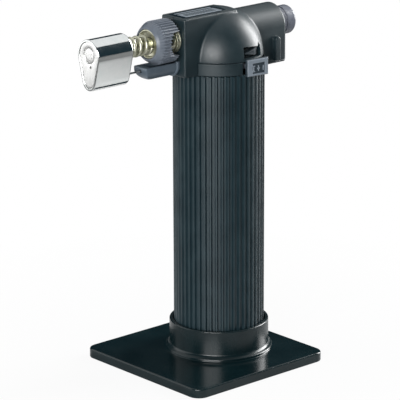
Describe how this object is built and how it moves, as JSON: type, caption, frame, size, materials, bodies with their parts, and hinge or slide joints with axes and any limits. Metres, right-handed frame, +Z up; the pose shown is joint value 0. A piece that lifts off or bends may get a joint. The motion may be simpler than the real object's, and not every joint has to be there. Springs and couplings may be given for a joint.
{
  "type": "butane torch",
  "caption": "Hand-held butane torch with a ribbed tank grip, piezo ignition button, side flow lever and chrome flame shroud, standing in a detachable square stand.",
  "frame": {"origin": "on the tank's axis, at the underside of the stand", "axes": "+Z up along the tank; the burner points along -X and the ignition button along +X; the flow lever is on the -Y side"},
  "size_m": [0.1078, 0.072, 0.1506],
  "materials": {
    "black_plastic": "fine matt grain",
    "gloss_black": "glossy moulded",
    "grey_plastic": "satin moulded",
    "chrome": "polished plate",
    "steel": "plain steel",
    "brass": "bright pale brass",
    "ceramic": "glazed",
    "rubber": "matt",
    "felt": "felted",
    "tank_plastic": "translucent moulded",
    "silver_label": "satin foil"
  },
  "bodies": {
    "stand": {"stand_base": "gloss_black"},
    "torch": {"grip_sleeve": "black_plastic", "tank_cup": "tank_plastic", "tank_lid": "tank_plastic", "tank_seal": "rubber", "base_cap": "black_plastic", "fill_valve_body": "brass", "fill_valve_seal": "rubber", "fill_valve_spring": "steel", "outlet_valve_body": "brass", "valve_gland": "rubber", "outlet_valve_spring": "steel", "fuel_wick": "felt", "valve_coupling": "brass", "gas_pipe": "brass", "neck_ring": "black_plastic", "flow_scale_plate": "gloss_black", "head_shell_right": "black_plastic", "head_shell_left": "black_plastic", "head_screw_1": "steel", "head_screw_2": "steel", "head_screw_3": "steel", "label_plate": "silver_label", "nozzle_base": "brass", "gas_jet": "brass", "burner_tube": "brass", "collar_retainer": "brass", "heat_spring": "brass", "flame_shroud": "chrome", "flame_plate": "steel", "flame_tube": "steel", "flame_holder": "steel", "electrode_arm": "grey_plastic", "electrode": "steel", "electrode_insulator": "ceramic", "ignition_lead": "rubber", "piezo_case": "tank_plastic", "piezo_clip": "steel", "button_spring": "steel"},
    "flow_lever": {"flow_lever": "grey_plastic", "outlet_valve_stem": "brass"},
    "air_collar": {"air_collar": "grey_plastic"},
    "ignition_button": {"ignition_button": "grey_plastic", "piezo_plunger": "steel"},
    "fill_stem": {"fill_valve_stem": "steel"}
  },
  "joints": [
    {"name": "torch_lift", "type": "slide", "parent": "stand", "child": "torch", "axis": [0, 0, 1], "range_m": [0, 0.03]},
    {"name": "flow_lever_turn", "type": "hinge", "parent": "torch", "child": "flow_lever", "pos_m": [0, 0, 0.1283], "axis": [0, 0, 1], "range_deg": [-18, 28]},
    {"name": "air_collar_turn", "type": "hinge", "parent": "torch", "child": "air_collar", "pos_m": [-0.0277, 0, 0.1408], "axis": [1, 0, 0], "range_deg": [0, 90]},
    {"name": "button_press", "type": "slide", "parent": "torch", "child": "ignition_button", "axis": [-1, 0, 0], "range_m": [0, 0.0045], "stiffness_N_per_m": 1500, "springref_m": -0.002, "deforming": ["button_spring"]},
    {"name": "fill_stem_press", "type": "slide", "parent": "torch", "child": "fill_stem", "axis": [0, 0, 1], "range_m": [0, 0.002], "stiffness_N_per_m": 300, "springref_m": -0.002, "deforming": ["fill_valve_spring"]}
  ]
}
